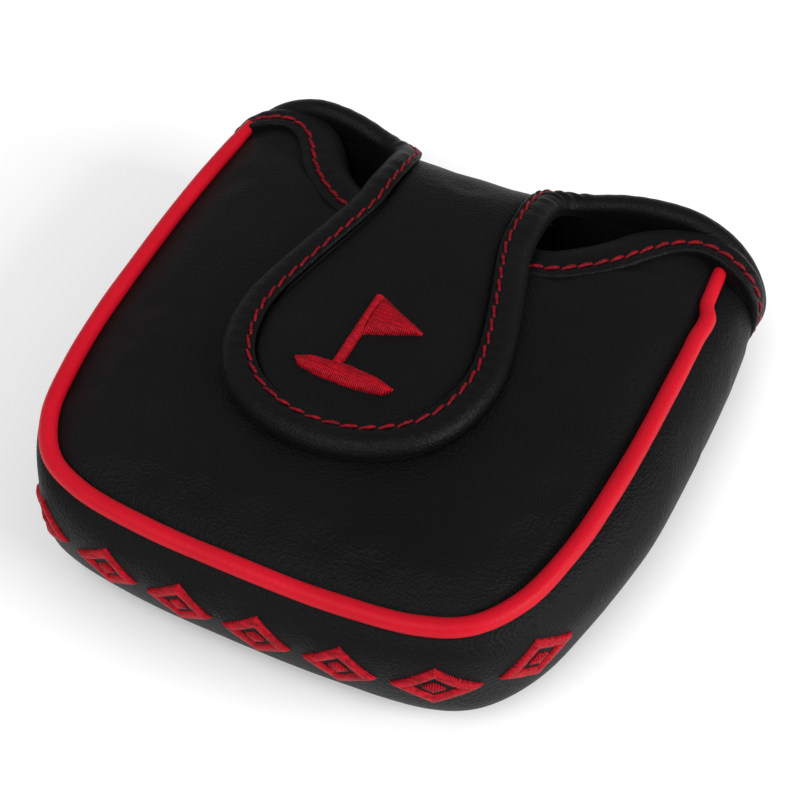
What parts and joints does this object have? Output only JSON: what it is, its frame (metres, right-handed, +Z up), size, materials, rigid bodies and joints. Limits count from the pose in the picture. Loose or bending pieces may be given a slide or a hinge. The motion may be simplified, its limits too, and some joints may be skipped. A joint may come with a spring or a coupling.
{
  "type": "mallet putter head cover",
  "caption": "Padded square pouch for a mallet putter head, with piped top seam, upright rear wall and a magnetic tongue flap over the mouth.",
  "frame": {"origin": "on the floor under the middle of the closed cover", "axes": "+Z up; -Y towards the front band that carries the motif row; +Y towards the mouth and rear wall; +X to the right seen from the front"},
  "size_m": [0.1316, 0.1234, 0.0382],
  "materials": {
    "black_leather": "black synthetic leather, fine grain, low sheen",
    "foam_padding": "grey laminated foam, hidden",
    "plush_lining": "black short-pile plush",
    "magnet_steel": "plated disc magnet, hidden",
    "red_thread": "red heavy sewing thread",
    "red_embroidery": "red satin-stitch embroidery",
    "red_piping": "red synthetic leather piping, smooth",
    "piping_core": "twisted cord, hidden"
  },
  "bodies": {
    "pouch": {"bottom_panel": "black_leather", "side_band": "black_leather", "top_panel": "black_leather", "mouth_binding": "black_leather", "bottom_foam": "foam_padding", "side_band_foam": "foam_padding", "top_foam": "foam_padding", "bottom_lining": "plush_lining", "side_band_lining": "plush_lining", "top_lining": "plush_lining", "top_magnet": "magnet_steel", "mouth_topstitch": "red_thread", "front_motif_1": "red_embroidery", "front_motif_2": "red_embroidery", "front_motif_3": "red_embroidery", "front_motif_4": "red_embroidery", "front_motif_5": "red_embroidery", "front_motif_6": "red_embroidery", "front_motif_7": "red_embroidery", "piping_cover": "red_piping", "piping_cord": "piping_core"},
    "rear_wall": {"rear_wall_panel": "black_leather", "rear_binding_left": "black_leather", "rear_binding_right": "black_leather", "rear_wall_foam": "foam_padding", "rear_wall_lining": "plush_lining"},
    "flap": {"flap_panel": "black_leather", "flap_binding": "black_leather", "flap_foam": "foam_padding", "flap_lining": "plush_lining", "flap_magnet": "magnet_steel", "flap_topstitch": "red_thread", "flap_emblem": "red_embroidery"}
  },
  "joints": [
    {"name": "rear_wall_lean", "type": "hinge", "parent": "pouch", "child": "rear_wall", "pos_m": [0, 0.0599, 0.0014], "axis": [-1, 0, 0], "range_deg": [0, 35]},
    {"name": "flap_fold", "type": "hinge", "parent": "rear_wall", "child": "flap", "pos_m": [0, 0.0539, 0.0302], "axis": [-1, 0, 0], "range_deg": [0, 140]}
  ]
}
